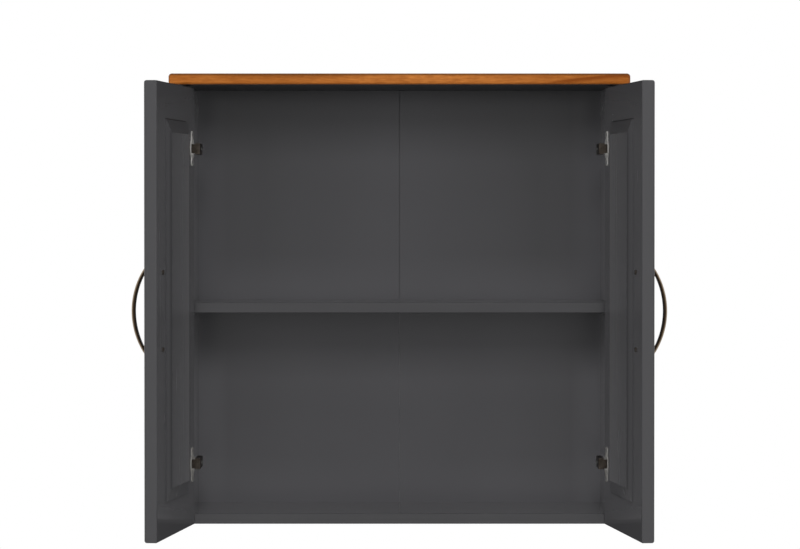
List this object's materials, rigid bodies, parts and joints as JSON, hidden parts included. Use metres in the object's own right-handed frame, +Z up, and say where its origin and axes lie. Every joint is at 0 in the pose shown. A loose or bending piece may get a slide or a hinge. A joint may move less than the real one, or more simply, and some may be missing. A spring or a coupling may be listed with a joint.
{
  "type": "wall cabinet",
  "caption": "Wall-hung cabinet with panelled doors on concealed hinges, bow handles, a loose shelf and an overhanging wooden top board.",
  "frame": {"origin": "on the wall plane, midway between the two hanger eyes", "axes": "+X to the right seen from the front, +Y towards the wall, +Z up"},
  "size_m": [0.8864, 0.6648, 0.784],
  "materials": {
    "grey_lacquer": "satin anthracite lacquer on pine",
    "oiled_pine": "honey-stained and oiled pine",
    "grey_hardboard": "matt anthracite lacquer on hardboard",
    "seam_tape": "matt cloth tape",
    "beech": "plain turned",
    "steel": "zinc plated",
    "zinc": "die cast",
    "nickel": "nickel plated",
    "dark_nickel": "dark nickel plated",
    "antique_brass": "antique brown with rubbed edges"
  },
  "bodies": {
    "carcase": {"top_board": "oiled_pine", "side_panel_left": "grey_lacquer", "side_panel_right": "grey_lacquer", "bottom_panel": "grey_lacquer", "back_panel_left": "grey_hardboard", "back_panel_right": "grey_hardboard", "back_seam_tape": "seam_tape", "back_nails": "steel", "dowels": "beech", "cam_bolts": "steel", "cam_discs": "zinc", "shelf_pins": "steel", "hanger_plate_left": "steel", "hanger_plate_right": "steel", "hanger_screws": "steel", "hinge_plate_screws": "steel", "hinge_arm_screws": "steel", "hinge_plate_upper_left": "nickel", "hinge_arm_upper_left": "dark_nickel", "hinge_plate_upper_right": "nickel", "hinge_arm_upper_right": "dark_nickel", "hinge_plate_lower_left": "nickel", "hinge_arm_lower_left": "dark_nickel", "hinge_plate_lower_right": "nickel", "hinge_arm_lower_right": "dark_nickel"},
    "shelf": {"shelf": "grey_lacquer"},
    "left_door": {"left_hinge_stile": "grey_lacquer", "left_handle_stile": "grey_lacquer", "left_top_rail": "grey_lacquer", "left_bottom_rail": "grey_lacquer", "left_panel": "grey_lacquer", "left_hinge_cup_upper": "nickel", "left_hinge_cup_lower": "nickel", "left_hinge_pins": "steel", "left_cup_screws": "steel", "left_handle": "antique_brass", "left_handle_screws": "antique_brass"},
    "right_door": {"right_hinge_stile": "grey_lacquer", "right_handle_stile": "grey_lacquer", "right_top_rail": "grey_lacquer", "right_bottom_rail": "grey_lacquer", "right_panel": "grey_lacquer", "right_hinge_cup_upper": "nickel", "right_hinge_cup_lower": "nickel", "right_hinge_pins": "steel", "right_cup_screws": "steel", "right_handle": "antique_brass", "right_handle_screws": "antique_brass"}
  },
  "joints": [
    {"name": "left_door_hinge", "type": "hinge", "parent": "carcase", "child": "left_door", "pos_m": [-0.3712, -0.296, -0.324], "axis": [0, 0, 1], "range_deg": [0, 96.1]},
    {"name": "right_door_hinge", "type": "hinge", "parent": "carcase", "child": "right_door", "pos_m": [0.3712, -0.296, -0.324], "axis": [0, 0, -1], "range_deg": [0, 96.1]},
    {"name": "shelf_lift", "type": "slide", "parent": "carcase", "child": "shelf", "axis": [0, 0, 1], "range_m": [0, 0.04]}
  ]
}
